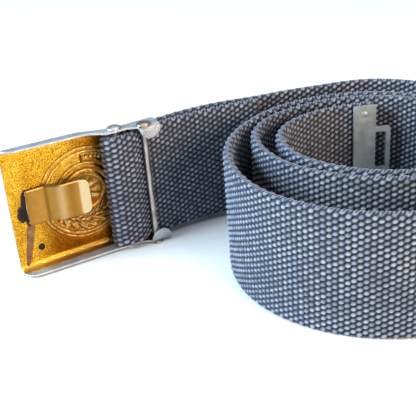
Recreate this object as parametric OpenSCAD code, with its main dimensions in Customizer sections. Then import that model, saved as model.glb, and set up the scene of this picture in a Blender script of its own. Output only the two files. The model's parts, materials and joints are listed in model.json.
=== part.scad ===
// Webbing waist belt with a box-plate hook buckle, rolled up and standing on its edge.
// Frame: +Z up, X along the roll's long side towards its right bend, Y towards its back.
// The origin is the middle of the footprint, on the plane the belt stands on.
// Each module below is one separate piece; the NODES list names them.

/* [Webbing] */
// Width of the webbing, which is its height as the roll stands
strap_width = 45; // [44:0.5:45.5]
// Thickness of the webbing
strap_thickness = 3.4; // [3.2:0.1:3.5]
// Length of the cut tail past the guide rod
tail_length = 38; // [30:1:40]

/* [Roll] */
// Left-to-right size of the roll at the middle line of the webbing
roll_width = 99.5; // [99:0.5:104]
// Front-to-back size of the roll at the middle line of the webbing
roll_depth = 107.3; // [106:0.5:113]

/* [Buckle] */
// Length of the box plate along the belt
buckle_length = 58.5; // [57:0.5:60]
// Height of the box plate over its flanges
buckle_height = 48; // [48:0.5:49]
// Thickness of the sheet the box plate is stamped from
sheet = 0.9; // [0.8:0.05:1]
// Diameter of the embossed medallion
medallion_diameter = 37; // [35:0.5:38]
// Angle between the box plate and the roll's long side
buckle_yaw = 28; // [26:1:29]
// Radius of the guide rod and of the clamp bar's end pins
pin_radius = 1.1; // [1:0.05:1.15]
// Radial running clearance of the pins in the flange holes
pin_clearance = 0.05; // [0.03:0.01:0.08]

/* [Catch] */
// Width of the hook strip
hook_width = 14.2; // [13:0.2:14.2]
// Length of the hook strip along the plate
hook_length = 23.8; // [22:0.2:23.8]
// Height of the end catch bar
catch_height = 37; // [36:0.5:38]
// Height of the eye window in the end catch
eye_height = 14.8; // [14.6:0.1:15.2]
// Width of the eye window in the end catch
eye_width = 4.2; // [4:0.2:4.8]
// Thickness of the end catch sheet
catch_sheet = 1.1; // [0.9:0.05:1.1]

/* [Hidden] */

half_strap = strap_thickness / 2;
arc_steps = 18;             // straight facets in a quarter bend
cap_steps = 6;              // half of the facets round a free webbing end
joint_gap = 0.25;           // gap between neighbouring stretches of one strap
pivot_gap = 0.6;            // extra length between two webbing ends that flex on a hinge

// Roll layout: each bend is a quarter ellipse between two of these points, and at each point
// the webbing runs square to the line from the roll's middle.
sx = roll_width / 99.5;
sy = roll_depth / 107.3;
back_0 = [8.5 * sx, 57.9 * sy];
right_1 = [49.5 * sx, 2 * sy];
front_1 = [2 * sx, -49.4 * sy];
left_1 = [-50 * sx, -1 * sy];
back_1 = [0, 45.2 * sy];
right_2 = [44 * sx, 2 * sy];
front_2 = [8 * sx, -27.7 * sy];
left_2 = [-39.6 * sx, 12 * sy];
back_2 = [2 * sx, 40.9 * sy];
right_3 = [39 * sx, 2 * sy];
front_3 = [10 * sx, -23.5 * sy];
left_3 = [-31 * sx, 9 * sy];
back_3 = [5 * sx, 34.4 * sy];

// Buckle layout, in its own axes: u along the plate, v away from the wearer's side, z up.
bar_half_thick = 1.2;
bar_half_width = 2.6;
wrap_play = 0.1;                                  // play between the bar and the webbing round it
wrap_radius = bar_half_thick + wrap_play + half_strap;
lead_v = wrap_radius;                             // middle of the webbing on the plate side
tail_v = lead_v - strap_thickness - 0.15;         // middle of the webbing under the rod
rod_u = 10;
rod_v = tail_v - half_strap - 0.35 - pin_radius;
plate_inner = lead_v + half_strap + 0.6;
plate_outer = plate_inner + sheet;
ear_inner = rod_v - pin_radius - 0.15;
flange_edge = ear_inner;
right_end = 17;
left_end = right_end - buckle_length;
ear_radius = 4.2;
ear_u = right_end - ear_radius;
mouth_u = right_end + 3.2;                        // hinge where the webbing leaves the buckle
head_radius = 2.6;
head_play = 0.05;                                 // end play between a pin head and its flange
top_head = 1.1;
bottom_head = 0.45;
half_shell = buckle_height / 2;
buckle_mid_z = half_shell + head_play + bottom_head;
strap_mid_z = strap_width / 2;
bar_at = [-89.2 * sx, 20 * sy];                 // clamp bar axis in the roll layout

// The footprint's box, used to put the origin in its middle.
foot_left = min([for (v = [plate_outer, 0]) bar_at[0] + left_end * cos(buckle_yaw) - v * sin(buckle_yaw)]);
foot_right = right_1[0] + half_strap;
foot_front = front_1[1] - half_strap;
foot_back = back_0[1] + half_strap;
middle = [(foot_left + foot_right) / 2, (foot_front + foot_back) / 2];

// Lead: one smooth curve from the buckle's mouth to the roll's back.
function place(p) = [bar_at[0] + p[0] * cos(buckle_yaw) - p[1] * sin(buckle_yaw),
                     bar_at[1] + p[0] * sin(buckle_yaw) + p[1] * cos(buckle_yaw)];
lead_start = place([mouth_u, lead_v]);
lead_pull = 24;
lead_end = back_0;
lead_kink = 5;                                    // how much the lead turns from the plate at the mouth
lead_hand = [lead_start + lead_pull * [cos(buckle_yaw + lead_kink), sin(buckle_yaw + lead_kink)],
             lead_end - [lead_pull, 0]];
function lead_point(t) = pow(1 - t, 3) * lead_start + 3 * pow(1 - t, 2) * t * lead_hand[0]
    + 3 * (1 - t) * t * t * lead_hand[1] + pow(t, 3) * lead_end;
lead_hinge_t = 0.62;
lead_speed = norm(lead_point(lead_hinge_t + 0.01) - lead_point(lead_hinge_t - 0.01)) / 0.02;
hinge_half_t = (half_strap + pivot_gap / 2) / lead_speed;

// Tail: leaves the buckle straight and swings slowly away from the lead.
tail_turn = -15;
function tail_point(s) = place([mouth_u, tail_v])
    + s * [cos(buckle_yaw + tail_turn * s / (2 * tail_length)), sin(buckle_yaw + tail_turn * s / (2 * tail_length))];

// Inner end: the last quarter bend, split by the hinge the catch swings on.
end_hinge_angle = 112;
end_gap_angle = 3.6;
end_bend_angle = 101;       // where the bend ends and the stiff straight end begins
end_straight = 8.4;

// A quarter ellipse from one layout point to the next, in the direction of travel.
function from_side(a, b, t) = [b[0] + (a[0] - b[0]) * cos(t), a[1] + (b[1] - a[1]) * sin(t)];
function to_side(a, b, t) = [a[0] + (b[0] - a[0]) * sin(t), b[1] + (a[1] - b[1]) * cos(t)];
function steps(n) = [for (i = [0:n]) 90 * i / n];
function back_to_right(a, b) = [for (t = steps(arc_steps)) to_side(a, b, t)];
function right_to_front(a, b) = [for (t = steps(arc_steps)) from_side(a, b, t)];
function inner_end_point(angle) = [back_3[0] + (back_3[0] - left_3[0]) * cos(angle),
                                   left_3[1] + (back_3[1] - left_3[1]) * sin(angle)];
end_way = [-(back_3[0] - left_3[0]) * sin(end_bend_angle), (back_3[1] - left_3[1]) * cos(end_bend_angle)];
end_unit = -end_way / norm(end_way);
cut_end = inner_end_point(end_bend_angle) + end_straight * end_unit;
function span_points(from, to, n) = [for (i = [0:n]) from + (to - from) * i / n];
function turn_points(a, b, c, d, e) = concat(back_to_right(a, b), drop_first(right_to_front(b, c)),
    drop_first(back_to_right(c, d)), drop_first(right_to_front(d, e)));
function drop_first(list) = [for (i = [1:len(list) - 1]) list[i]];

// Offset outline of a line of points: both faces, with square or rounded ends.
function heading(p, i) = let (a = p[max(i - 1, 0)], b = p[min(i + 1, len(p) - 1)]) atan2(b[1] - a[1], b[0] - a[0]);
function face(p, side) = [for (i = [0:len(p) - 1]) p[i] + side * half_strap * [-sin(heading(p, i)), cos(heading(p, i))]];
function cap(centre, start) = [for (i = [1:2 * cap_steps - 1]) let (a = start - 180 * i / (2 * cap_steps))
    centre + half_strap * [cos(a), sin(a)]];
function flip(list) = [for (i = [len(list) - 1:-1:0]) list[i]];
function ribbon(p, round_start, round_end) = let (n = len(p) - 1) concat(
    face(p, 1),
    round_end ? cap(p[n], heading(p, n) + 90) : [],
    flip(face(p, -1)),
    round_start ? cap(p[0], heading(p, 0) - 90) : []);

module webbing(points, round_start = false, round_end = false, base = 0) {
    translate([0, 0, base]) linear_extrude(height = strap_width)
        polygon(ribbon(points, round_start, round_end));
}

module to_frame() {
    translate([-middle[0], -middle[1], 0]) children();
}

module in_buckle() {
    to_frame() translate([bar_at[0], bar_at[1], buckle_mid_z]) rotate([0, 0, buckle_yaw]) children();
}

// Lays a flat outline drawn in u and z onto the plate, with its thickness along v.
module upright(v_from, thick) {
    translate([0, v_from + thick, 0]) rotate([90, 0, 0]) linear_extrude(height = thick) children();
}

module strap_outer_turn() {
    lead_part = [for (t = span_points(lead_hinge_t + hinge_half_t, 1, 12)) lead_point(t)];
    color([0.42, 0.46, 0.55]) to_frame()
        webbing(trim_end(concat(lead_part, drop_first(turn_points(back_0, right_1, front_1, left_1, back_1)))),
            round_start = true);
}

function trim_end(p) = let (n = len(p) - 1, d = p[n] - p[n - 1])
    concat([for (i = [0:n - 1]) p[i]], [p[n] - d * joint_gap / norm(d)]);

module strap_middle_turn() {
    color([0.42, 0.46, 0.55]) to_frame() webbing(trim_end(turn_points(back_1, right_2, front_2, left_2, back_2)));
}

module strap_inner_turn() {
    last = [for (a = span_points(180, end_hinge_angle + end_gap_angle, 14)) inner_end_point(a)];
    color([0.42, 0.46, 0.55]) to_frame()
        webbing(concat(back_to_right(back_2, right_3), drop_first(right_to_front(right_3, front_3)),
            drop_first(back_to_right(front_3, left_3)), drop_first(last)), round_end = true);
}

module strap_end() {
    color([0.42, 0.46, 0.55]) to_frame()
        webbing(concat([for (a = span_points(end_hinge_angle - end_gap_angle, end_bend_angle, 5)) inner_end_point(a)],
            [cut_end - 0.9 * end_straight * end_unit, cut_end]), round_start = true);
}

module strap_lead() {
    color([0.42, 0.46, 0.55]) to_frame()
        webbing([for (t = span_points(mouth_t, lead_hinge_t - hinge_half_t, 20)) lead_point(t)],
            round_start = true, round_end = true, base = buckle_mid_z - strap_mid_z);
}
mouth_half = half_strap + pivot_gap / 2;
mouth_t = mouth_half / (3 * lead_pull);

// The webbing round the clamp bar: in along the plate, round the bar, out under the guide rod.
module strap_loop() {
    bend_u = -bar_half_width + bar_half_thick;
    dip = [3, rod_u - 1];
    inward = [for (u = span_points(mouth_u - mouth_half, bend_u, 4)) [u, lead_v]];
    wrap = [for (a = span_points(90, 270, 16)) [bend_u + wrap_radius * cos(a), wrap_radius * sin(a)]];
    out = [for (t = span_points(0, 180, 10)) [dip[0] + (dip[1] - dip[0]) * t / 180,
        -wrap_radius + (tail_v + wrap_radius) * (1 - cos(t)) / 2]];
    color([0.42, 0.46, 0.55]) in_buckle() translate([0, 0, -strap_mid_z])
        webbing(concat(inward, drop_first(wrap), out, [[mouth_u - mouth_half, tail_v]]),
            round_start = true, round_end = true);
}

module strap_tail() {
    color([0.42, 0.46, 0.55]) to_frame()
        webbing([for (s = span_points(mouth_half, tail_length, 12)) tail_point(s)],
            round_start = true, base = buckle_mid_z - strap_mid_z);
}

// Flange outline in u and v: deepest at the ears on the right, shallower to the left, round left corner.
corner = 5.5;
left_edge = -0.5;
middle_edge = -1.8;
pin_edge = -3.1;
function flange_outline() = concat(
    [[right_end, plate_outer], [left_end, plate_outer]],
    [for (a = span_points(180, 270, 8)) [left_end + corner + corner * cos(a), left_edge + corner + corner * sin(a)]],
    [[-9, middle_edge], [-head_radius - 1, pin_edge], [right_end - 2 * ear_radius - 2, pin_edge],
     [right_end - 2 * ear_radius, flange_edge], [right_end, flange_edge]]);

module flange(base) {
    translate([0, 0, base]) linear_extrude(height = sheet) polygon(flange_outline());
}

module ear(side) {
    intersection() {
        translate([ear_u, ear_inner, side * (half_shell - sheet)]) rotate([90, 0, 0])
            cylinder(r = ear_radius, h = sheet, $fn = 48);
        translate([ear_u - ear_radius - 1, ear_inner - sheet - 1, side > 0 ? 0 : -half_shell])
            cube([2 * ear_radius + 2, sheet + 2, half_shell]);
    }
    translate([right_end - 2 * ear_radius, ear_inner - sheet, side > 0 ? half_shell - sheet : -half_shell])
        cube([2 * ear_radius, sheet, sheet]);
}

// Section of the stamped medallion, from its middle out: the sheet keeps its thickness.
medallion_u = -12;
medallion_r = medallion_diameter / 2;
function stamped(offset) = [[0, 1.1 + offset], [5.4, 1.1 + offset], [6, 0.5 + offset], [9.6, 0.5 + offset],
    [10.3, 1.2 + offset], [11.2, 1.2 + offset], [11.9, 0.5 + offset], [medallion_r - 2.8, 0.5 + offset],
    [medallion_r - 2, 1.2 + offset], [medallion_r - 1, 1.2 + offset], [medallion_r, offset]];

module medallion() {
    translate([medallion_u, plate_inner, 0]) rotate([-90, 0, 0]) rotate_extrude($fn = 96)
        polygon(concat(stamped(0), flip(stamped(sheet))));
}

module pin_holes(radius) {
    for (at = [[0, 0], [rod_u, rod_v]]) {
        translate([at[0], at[1], -half_shell - 1]) cylinder(r = radius, h = buckle_height + 2, $fn = 48);
    }
}

module buckle_shell() {
    color([0.85, 0.63, 0.2]) in_buckle() {
        difference() {
            union() {
                difference() {
                    translate([left_end, plate_inner, -half_shell]) cube([buckle_length, sheet, buckle_height]);
                    translate([medallion_u, plate_inner - 1, 0]) rotate([-90, 0, 0])
                        cylinder(r = medallion_r - 0.01, h = sheet + 2, $fn = 96);
                }
                medallion();
                flange(half_shell - sheet);
                flange(-half_shell);
                ear(1);
                ear(-1);
            }
            pin_holes(pin_radius + pin_clearance);
        }
    }
}

// Hook strip in u and v: brazed foot, step away from the plate, run, and flared free tip.
hook_sheet = 1.1;
hook_left = -35.5;
hook_rise = 1.2;           // how far the hook sits above the plate's middle line
braze = 0.3;
hook_foot = plate_inner - braze;
function hook_line() = [[0, 0], [0.27, 0], [0.36, -0.35], [0.49, -2.75], [0.58, -3.2], [0.8, -3.3], [0.88, -3.6], [1, -4.5]];

// What is cut from one corner of the hook's tip to round it.
module tip_corner(side, radius) {
    reach = 12;
    difference() {
        translate([0, -reach, side > 0 ? 0 : -radius - 1]) cube([radius + 1, 2 * reach, radius + 1]);
        translate([0, -reach - 1, 0]) rotate([-90, 0, 0]) cylinder(r = radius, h = 2 * reach + 2, $fn = 32);
    }
}

module catch_hook() {
    near = [for (p = hook_line()) [hook_left + p[0] * hook_length, hook_foot - hook_sheet + p[1]]];
    far = [for (p = hook_line()) [hook_left + p[0] * hook_length, hook_foot + p[1]]];
    tip_radius = 2.2;
    tip = hook_left + hook_length;
    color([0.78, 0.6, 0.3]) in_buckle() difference() {
        translate([0, 0, hook_rise - hook_width / 2]) linear_extrude(height = hook_width)
            polygon(concat(near, flip(far)));
        for (side = [-1, 1]) translate([tip - tip_radius, 0, hook_rise + side * (hook_width / 2 - tip_radius)])
            tip_corner(side, tip_radius);
    }
}

// Flat patch of braze between the hook's foot and the plate, wider than the foot.
module hook_braze() {
    outline = [for (a = [0:10:350]) [hook_left + 0.5 + (4 + 0.5 * sin(3 * a)) * cos(a),
        hook_rise + (8.2 + 0.7 * sin(5 * a)) * sin(a)]];
    color([0.25, 0.18, 0.12]) in_buckle() upright(plate_inner - braze, braze) polygon(outline);
}

module domed_head(base, height) {
    ball = (head_radius * head_radius + height * height) / (2 * height);
    intersection() {
        translate([0, 0, base + height - ball]) sphere(r = ball, $fn = 64);
        translate([0, 0, base]) cylinder(r = head_radius + 1, h = height + 1, $fn = 48);
    }
}

module pin_with_heads() {
    translate([0, 0, -half_shell - head_play - bottom_head])
        cylinder(r = pin_radius, h = buckle_height + 2 * head_play + bottom_head + top_head / 2, $fn = 48);
    translate([0, 0, -half_shell - head_play - bottom_head]) cylinder(r = head_radius, h = bottom_head, $fn = 48);
    domed_head(half_shell + head_play, top_head);
}

function slot_outline(half_width, radius) = concat(
    [for (a = span_points(-90, 90, 8)) [half_width - radius + radius * cos(a), radius * sin(a)]],
    [for (a = span_points(90, 270, 8)) [radius - half_width + radius * cos(a), radius * sin(a)]]);

module clamp_bar() {
    bar_length = buckle_height - 2 * sheet - 0.4;
    color([0.62, 0.64, 0.66]) in_buckle() {
        translate([0, 0, -bar_length / 2]) linear_extrude(height = bar_length)
            polygon(slot_outline(bar_half_width, bar_half_thick));
        pin_with_heads();
    }
}

module guide_rod() {
    color([0.62, 0.64, 0.66]) in_buckle() translate([rod_u, rod_v, 0]) pin_with_heads();
}

// End catch, in axes at the cut end of the webbing: x along the webbing, y through it, z up.
catch_tilt = atan2(end_unit[1], end_unit[0]);
catch_bar = 8.6;
bar_past_end = 0.6;
tab_height = eye_height + 3.8;
tab_length = 5.9;
eye_frame = 1.7;
rivet_z = catch_height / 2 - 3.2;
rivet_x = bar_past_end - catch_bar / 2;
leaf_play = 0.03;
catch_rise = 3.3;            // how far the catch sits above the webbing's middle line

module at_strap_end() {
    to_frame() translate([cut_end[0], cut_end[1], strap_mid_z + catch_rise]) rotate([0, 0, catch_tilt]) children();
}

module leaf(height) {
    translate([bar_past_end - catch_bar, -height / 2]) square([catch_bar, height]);
}

module end_catch() {
    color([0.5, 0.54, 0.55]) at_strap_end() upright(-half_strap - leaf_play - catch_sheet, catch_sheet) difference() {
        union() {
            leaf(catch_height);
            translate([bar_past_end - 1, -tab_height / 2]) square([tab_length + 1, tab_height]);
        }
        translate([bar_past_end + tab_length - eye_frame - eye_width, -eye_height / 2]) square([eye_width, eye_height]);
    }
}

module catch_back_plate() {
    color([0.5, 0.54, 0.55]) at_strap_end() upright(half_strap + leaf_play, catch_sheet) leaf(catch_height);
}

module catch_rivets() {
    rivet_radius = 1.1;
    proud = 0.35;
    reach = half_strap + leaf_play + catch_sheet + proud;
    color([0.55, 0.58, 0.6]) at_strap_end() for (side = [-1, 1]) {
        translate([rivet_x, reach, side * rivet_z]) rotate([90, 0, 0]) cylinder(r = rivet_radius, h = 2 * reach, $fn = 32);
    }
}

strap_outer_turn();
strap_middle_turn();
strap_inner_turn();
strap_lead();
strap_loop();
strap_tail();
strap_end();
buckle_shell();
catch_hook();
hook_braze();
clamp_bar();
guide_rod();
end_catch();
catch_back_plate();
catch_rivets();
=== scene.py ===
"""Rolled webbing waist belt with a box-plate hook buckle: its looks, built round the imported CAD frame."""

import json
import math

import bmesh
import bpy
import numpy as np
from mathutils import Matrix, Vector


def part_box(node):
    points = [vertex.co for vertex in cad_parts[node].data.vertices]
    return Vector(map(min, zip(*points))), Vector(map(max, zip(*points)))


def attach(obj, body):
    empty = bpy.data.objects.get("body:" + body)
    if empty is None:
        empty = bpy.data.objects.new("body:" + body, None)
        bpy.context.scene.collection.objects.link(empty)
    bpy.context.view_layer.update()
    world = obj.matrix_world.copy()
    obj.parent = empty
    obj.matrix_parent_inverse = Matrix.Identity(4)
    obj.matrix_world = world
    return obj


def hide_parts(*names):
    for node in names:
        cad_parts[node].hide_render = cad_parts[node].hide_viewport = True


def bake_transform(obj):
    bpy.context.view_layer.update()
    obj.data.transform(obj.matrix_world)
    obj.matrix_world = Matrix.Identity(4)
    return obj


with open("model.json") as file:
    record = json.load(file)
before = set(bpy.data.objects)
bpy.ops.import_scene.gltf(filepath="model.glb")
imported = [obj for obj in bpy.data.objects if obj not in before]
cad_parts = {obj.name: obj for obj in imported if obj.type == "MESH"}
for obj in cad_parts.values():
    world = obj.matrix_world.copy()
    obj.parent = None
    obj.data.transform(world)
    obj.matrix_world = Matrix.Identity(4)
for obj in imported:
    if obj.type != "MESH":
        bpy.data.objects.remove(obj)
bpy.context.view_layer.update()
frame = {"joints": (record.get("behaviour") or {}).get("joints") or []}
MM = 0.001

# ---------- layout of the belt, in millimetres
# All lengths below are millimetres in the row frame; meshes are scaled to metres when they are made.

roll_low, roll_high = (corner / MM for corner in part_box("strap_outer_turn"))
shell_low, shell_high = (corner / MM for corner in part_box("buckle_shell"))
JOINT_AT = {joint["name"]: np.array(joint["pos_m"][:2]) / MM for joint in frame["joints"]}

STRAP_WIDTH = roll_high.z - roll_low.z
STRAP_THICK = 3.4
HALF = STRAP_THICK / 2
BUCKLE_Z = (shell_low.z + shell_high.z) / 2
LEAD_DROP = 0.35  # how much lower than centred the webbing hangs in the buckle
LEAD_BASE = BUCKLE_Z - STRAP_WIDTH / 2 - LEAD_DROP  # height of its lower edge there
CURVE_POINTS = 240  # points on each bend of the middle line

# Points of the roll, in axes centred on it: each bend is a quarter ellipse between two of them.
BACK_0, RIGHT_1, FRONT_1, LEFT_1 = (8.5, 57.9), (49.5, 2), (2, -49.4), (-50, -1)
BACK_1, RIGHT_2, FRONT_2, LEFT_2 = (0, 45.2), (44, 2), (8, -27.7), (-39.6, 12)
BACK_2, RIGHT_3, FRONT_3, LEFT_3 = (2, 40.9), (39, 2), (10, -23.5), (-31, 9)
BACK_3 = (5, 34.4)
ROLL_SHIFT = np.array([roll_high.x - RIGHT_1[0] - HALF, roll_low.y - FRONT_1[1] + HALF])

# The buckle's own axes: u along the plate, v away from the wearer's side, h up from its middle.
BAR_AT = JOINT_AT["buckle_play"]
YAW = math.radians(28)
ALONG = np.array([math.cos(YAW), math.sin(YAW)])
AWAY = np.array([-math.sin(YAW), math.cos(YAW)])

BAR_HALF_THICK = 1.2
BAR_HALF_WIDTH = 2.6
BAR_GAP = 0.1  # between the webbing and the clamp bar
LAYER_GAP = 0.15  # between the webbing's two layers, and between the guide rod and the ears
ROD_GAP = 0.35  # between the webbing's tail and the guide rod
PLATE_GAP = 0.6  # between the webbing and the plate
WRAP = BAR_HALF_THICK + BAR_GAP + HALF  # radius of the webbing's middle line round the bar
TAIL_V = WRAP - STRAP_THICK - LAYER_GAP
PIN = 1.1  # radius of the guide rod and of the bar's end pins
ROD_U = 10.0
ROD_V = TAIL_V - HALF - ROD_GAP - PIN
MOUTH_U = 20.2
TAIL_LENGTH = 38.0
TAIL_TURN = math.radians(-15)
LEAD_PULL = 24.0  # how strongly the lead's two ends steer its curve
LEAD_KINK = math.radians(5)  # how far it turns from the buckle at the mouth
LEAD_HINGE = 0.62  # where along the lead's curve it flexes
END_HINGE = 68.0  # degrees into the last bend where the inner end flexes
END_BEND = 79.0  # degrees into the last bend where the straight end begins
END_STRAIGHT = 8.4


def unit(ways):
    """The same ways, each of length 1."""
    return ways / np.maximum(np.linalg.norm(ways, axis=-1, keepdims=True), 1e-9)


def distances(line):
    """How far along a line of points each point lies."""
    return np.concatenate([[0], np.cumsum(np.linalg.norm(np.diff(line, axis=0), axis=1))])


def circle(count):
    """Angles evenly round a full turn."""
    return np.linspace(0, 2 * math.pi, count, endpoint=False)


def smooth_step(x, low, high):
    """Goes gently from 0 at low to 1 at high."""
    t = np.clip((x - low) / (high - low), 0, 1)
    return t * t * (3 - 2 * t)


def place(u, v):
    """Point of the buckle's axes on the floor plan of the row frame."""
    return BAR_AT + np.multiply.outer(u, ALONG) + np.multiply.outer(v, AWAY)


def bend(a, b, towards_side, start=0.0, stop=90.0):
    """A quarter ellipse from a to b, or a share of it, as a row of points."""
    angle = np.radians(np.linspace(start, stop, CURVE_POINTS))
    (ax, ay), (bx, by) = a, b
    if towards_side:
        points = [ax + (bx - ax) * np.sin(angle), by + (ay - by) * np.cos(angle)]
    else:
        points = [bx + (ax - bx) * np.cos(angle), ay + (by - ay) * np.sin(angle)]
    return np.stack(points, -1) + ROLL_SHIFT


def turn(back, right, front, left, next_back, stop=90.0):
    """One turn of the roll, from its back round the right, front and left to the next turn's back."""
    quarters = [bend(back, right, True), bend(right, front, False), bend(front, left, True)]
    return np.concatenate(quarters + [bend(left, next_back, False, 0, stop)])


def lead(start, stop):
    """The smooth curve from the buckle's mouth to the roll's back."""
    t = np.linspace(start, stop, CURVE_POINTS)[:, None]
    first = place(MOUTH_U, WRAP)
    last = np.array(BACK_0) + ROLL_SHIFT
    way_out = YAW + LEAD_KINK
    near = first + LEAD_PULL * np.array([math.cos(way_out), math.sin(way_out)])
    far = last - np.array([LEAD_PULL, 0])
    return (1 - t) ** 3 * first + 3 * (1 - t) ** 2 * t * near + 3 * (1 - t) * t**2 * far + t**3 * last


def tail():
    """From the cut end, gently bent, to the buckle's mouth."""
    s = np.linspace(TAIL_LENGTH, 0, CURVE_POINTS)
    way = YAW + TAIL_TURN * s / (2 * TAIL_LENGTH)
    return place(MOUTH_U, TAIL_V) + s[:, None] * np.stack([np.cos(way), np.sin(way)], -1)


def loop():
    """From the mouth in under the guide rod, round the clamp bar and out along the plate."""
    turn_u = BAR_HALF_THICK - BAR_HALF_WIDTH
    ease = np.linspace(0, math.pi, 60)
    dip_from, dip_to = ROD_U - 1, 3.0
    dip_u = dip_from + (dip_to - dip_from) * ease / math.pi
    dip_v = TAIL_V + (-WRAP - TAIL_V) * (1 - np.cos(ease)) / 2
    round_bar = np.linspace(-math.pi / 2, -3 * math.pi / 2, 120)
    u = np.concatenate([[MOUTH_U], dip_u, turn_u + WRAP * np.cos(round_bar), [MOUTH_U]])
    v = np.concatenate([[TAIL_V], dip_v, WRAP * np.sin(round_bar), [WRAP]])
    return place(u, v)


def inner_end():
    """The rest of the last bend and the straight piece after it that carries the catch."""
    last_bend = bend(LEFT_3, BACK_3, False, END_HINGE, END_BEND)
    step = np.linspace(0, END_STRAIGHT, 40)[:, None]
    straight = last_bend[-1] + step * unit(last_bend[-1] - last_bend[-2])
    return np.concatenate([last_bend, straight])


LEGS = [
    ("tail", tail()),
    ("loop", loop()),
    ("lead", lead(0, LEAD_HINGE)),
    ("outer", np.concatenate([lead(LEAD_HINGE, 1), turn(BACK_0, RIGHT_1, FRONT_1, LEFT_1, BACK_1)])),
    ("middle", turn(BACK_1, RIGHT_2, FRONT_2, LEFT_2, BACK_2)),
    ("inner", turn(BACK_2, RIGHT_3, FRONT_3, LEFT_3, BACK_3, END_HINGE)),
    ("end", inner_end()),
]


def join_legs():
    """One line of points for the whole strap, the distance along it, and where each leg starts."""
    starts, length = {}, 0.0
    for name, leg in LEGS:
        starts[name] = length
        length += distances(leg)[-1]
    line = np.concatenate([leg for _, leg in LEGS])
    step = np.linalg.norm(np.diff(line, axis=0), axis=1)
    line = line[np.concatenate([[True], step > 1e-6])]
    distance = distances(line)
    starts["stop"] = distance[-1]
    return line, distance, starts


LINE, DISTANCE, START = join_legs()
BAR_TURN = DISTANCE[np.argmin((LINE - BAR_AT) @ ALONG)]  # where the strap turns round the clamp bar


def middle_line(s):
    """Point of the strap's middle line at distance s."""
    return np.stack([np.interp(s, DISTANCE, LINE[:, k]) for k in (0, 1)], -1)


def side_way(s):
    """Unit vector square to the strap at distance s, pointing to the roll's outer side."""
    reach = 0.7
    way = unit(middle_line(np.minimum(s + reach, START["stop"])) - middle_line(np.maximum(s - reach, 0)))
    return np.stack([-way[:, 1], way[:, 0]], -1)


def base_height(s):
    """The webbing stands on the floor in the roll and a little above it in the buckle."""
    return LEAD_BASE * (1 - smooth_step(s, START["lead"] + 4, START["outer"] - 4))


# ---------- meshes and patterns


def scatter(i, j, salt):
    """A fixed random number from 0 to 1 for every pair of whole numbers."""
    return np.abs(np.sin(i * 12.9898 + j * 78.233 + salt * 37.719) * 43758.5453) % 1.0


def drift(x, y, size, salt):
    """Smooth random height from about -1 to 1 that changes over the given size."""
    total = np.zeros(np.broadcast(x, y).shape)
    waves = 7
    for k in range(waves):
        angle = 2 * math.pi * scatter(k, salt, 1)
        rate = 2 * math.pi / size * (0.6 + 0.9 * scatter(k, salt, 2))
        phase = 2 * math.pi * scatter(k, salt, 3)
        total += np.sin(rate * (x * math.cos(angle) + y * math.sin(angle)) + phase)
    return total / math.sqrt(waves * 2)


def bell(x, width):
    """A smooth bump of height 1 at 0."""
    return np.exp(-((x / width) ** 2))


def pebbles(x, y, pitch, salt):
    """Height from 0 to 1 of a stamped pebble grain."""
    best = np.zeros(np.broadcast(x, y).shape)
    for di in (-1, 0, 1):
        for dj in (-1, 0, 1):
            i = np.round(x / pitch) + di
            j = np.round(y / pitch) + dj
            cx = (i + 0.55 * (scatter(i, j, salt) - 0.5)) * pitch
            cy = (j + 0.55 * (scatter(i, j, salt + 1) - 0.5)) * pitch
            reach = pitch * (0.62 + 0.16 * scatter(i, j, salt + 2))
            best = np.maximum(best, 1 - ((x - cx) ** 2 + (y - cy) ** 2) / reach**2)
    return np.sqrt(best)


def add_object(name, data):
    made = bpy.data.objects.new(name, data)
    bpy.context.scene.collection.objects.link(made)
    return made


def make_mesh(name, points, faces, attributes=None, normals=None, uv=None, smooth=True):
    """A mesh object from points in millimetres and four-cornered faces."""
    points = np.asarray(points, float).reshape(-1, 3) * MM
    faces = np.asarray(faces, np.int32).reshape(-1, 4)
    mesh = bpy.data.meshes.new(name)
    mesh.vertices.add(len(points))
    mesh.vertices.foreach_set("co", points.astype(np.float32).ravel())
    mesh.loops.add(faces.size)
    mesh.loops.foreach_set("vertex_index", faces.ravel())
    mesh.polygons.add(len(faces))
    mesh.polygons.foreach_set("loop_start", np.arange(0, faces.size, 4, dtype=np.int32))
    mesh.polygons.foreach_set("use_smooth", np.full(len(faces), smooth))
    mesh.update(calc_edges=True)
    for key, values in (attributes or {}).items():
        layer = mesh.attributes.new(key, "FLOAT", "POINT")
        layer.data.foreach_set("value", np.asarray(values, np.float32).ravel())
    if uv is not None:
        layer = mesh.uv_layers.new(name="UVMap")
        layer.data.foreach_set("uv", np.asarray(uv, np.float32).ravel())
    if normals is not None:
        mesh.normals_split_custom_set_from_vertices(normals.reshape(-1, 3))
    return add_object(name, mesh)


def grid_faces(rows, columns, close_columns=False, first=0):
    """Faces of a grid of points numbered row by row, closed round its columns if asked."""
    last = columns if close_columns else columns - 1
    i, j = np.meshgrid(np.arange(rows - 1), np.arange(last), indexing="ij")
    k = (j + 1) % columns
    corners = [i * columns + j, (i + 1) * columns + j, (i + 1) * columns + k, i * columns + k]
    return np.stack(corners, -1).reshape(-1, 4) + first


def finish_piece(made, body, material, nodes=()):
    """Gives a piece its material, its body and the CAD nodes that it stands for."""
    made.data.materials.append(material)
    if body is not None:
        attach(made, body)
    if nodes:
        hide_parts(*nodes)


# ---------- materials

UV_SCALE = 1000.0  # one unit of the strap's UV map is this many millimetres


def new_material(name, **values):
    """A material with one shader node; the values set its inputs."""
    made = bpy.data.materials.new(name)
    made.use_nodes = True
    nodes = made.node_tree.nodes
    nodes.clear()
    shader = nodes.new("ShaderNodeBsdfPrincipled")
    output = nodes.new("ShaderNodeOutputMaterial")
    made.node_tree.links.new(shader.outputs["BSDF"], output.inputs["Surface"])
    for key, value in values.items():
        feed(made, shader.inputs[key.replace("_", " ")], value)
    return made, shader


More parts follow.
